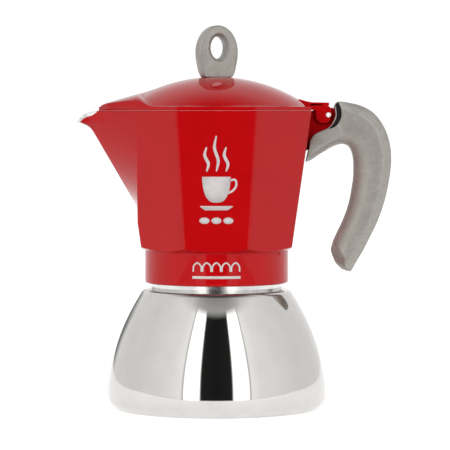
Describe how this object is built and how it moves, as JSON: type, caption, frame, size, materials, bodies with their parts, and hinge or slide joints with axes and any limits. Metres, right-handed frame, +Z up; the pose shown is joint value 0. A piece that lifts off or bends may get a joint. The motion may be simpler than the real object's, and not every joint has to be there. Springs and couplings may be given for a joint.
{
  "type": "moka pot",
  "caption": "Stove-top moka pot: polished bell boiler with a screw neck, faceted collector with spout, domed hinged lid, ring knob and hooked handle.",
  "frame": {"origin": "centre of the boiler's flat foot, on the pot's axis", "axes": "+Z up along the pot's axis, -X to the spout, +X to the handle, the safety valve at +Y"},
  "size_m": [0.173, 0.1226, 0.2106],
  "materials": {
    "polished_steel": "mirror polished stainless steel",
    "liner_aluminium": "turned",
    "cast_aluminium": "satin",
    "pressed_aluminium": "satin",
    "red_lacquer": "glossy lacquer",
    "pewter_plastic": "satin pearl grey",
    "brass": "satin",
    "silicone": "matt",
    "bright_steel": "bright"
  },
  "bodies": {
    "boiler": {"boiler_shell": "polished_steel", "boiler_liner": "liner_aluminium", "valve_washer": "silicone", "valve_body": "brass", "valve_retainer": "brass", "valve_spring": "bright_steel"},
    "valve_piston": {"valve_pin": "brass", "valve_seal": "silicone"},
    "funnel": {"funnel": "pressed_aluminium", "funnel_plate": "pressed_aluminium"},
    "gasket": {"gasket": "silicone"},
    "collector": {"collector": "red_lacquer", "coffee_column": "cast_aluminium", "column_cap": "cast_aluminium", "filter_plate": "pressed_aluminium", "hinge_pin": "bright_steel", "handle": "pewter_plastic", "handle_screw": "bright_steel"},
    "lid": {"lid": "red_lacquer", "knob": "pewter_plastic", "knob_insert": "brass", "knob_washer": "bright_steel", "knob_screw": "bright_steel"}
  },
  "joints": [
    {"name": "funnel_lift", "type": "slide", "parent": "boiler", "child": "funnel", "axis": [0, 0, 1], "range_m": [0, 0.096]},
    {"name": "collector_rise", "type": "slide", "parent": "funnel", "child": "gasket", "axis": [0, 0, 1], "range_m": [0, 0.018]},
    {"name": "collector_turn", "type": "hinge", "parent": "gasket", "child": "collector", "pos_m": [0, 0, 0.08], "axis": [0, 0, 1], "range_deg": [0, 1620]},
    {"name": "lid_hinge", "type": "hinge", "parent": "collector", "child": "lid", "pos_m": [0.0612, 0, 0.1615], "axis": [0, 1, 0], "range_deg": [0, 98]},
    {"name": "valve_slide", "type": "slide", "parent": "boiler", "child": "valve_piston", "axis": [0, 0.9397, 0.342], "range_m": [0, 0.0015], "stiffness_N_per_m": 400, "deforming": ["valve_spring"]}
  ],
  "couplings": [
    {"joint": "collector_rise", "follows": "collector_turn", "m_per_rad": 0.00063662}
  ]
}
